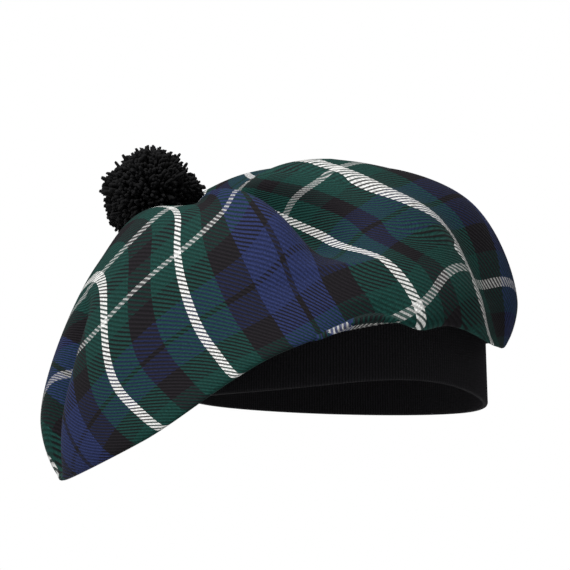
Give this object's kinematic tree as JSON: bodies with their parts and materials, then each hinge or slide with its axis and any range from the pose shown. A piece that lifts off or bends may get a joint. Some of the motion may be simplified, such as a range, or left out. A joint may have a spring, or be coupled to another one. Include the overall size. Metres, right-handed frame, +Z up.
{
  "type": "tam o'shanter",
  "caption": "Soft round tartan wool cap that hangs to one side, gathered into a rib-knit headband, with a yarn pompom on top",
  "frame": {"origin": "middle of the headband's lower edge, where the hat sits on a head", "axes": "+X to the wearer's left, -Y to the front, +Z up; the crown hangs to the wearer's right, along -X"},
  "size_m": [0.2641, 0.301, 0.1922],
  "materials": {
    "wool_twill": "soft tartan twill in green, navy and black with a white overcheck",
    "rib_knit": "black one-by-one rib knit",
    "toorie_yarn": "black cut wool yarn"
  },
  "bodies": {
    "root": {"crown": "wool_twill", "headband": "rib_knit", "toorie": "toorie_yarn"}
  },
  "joints": []
}
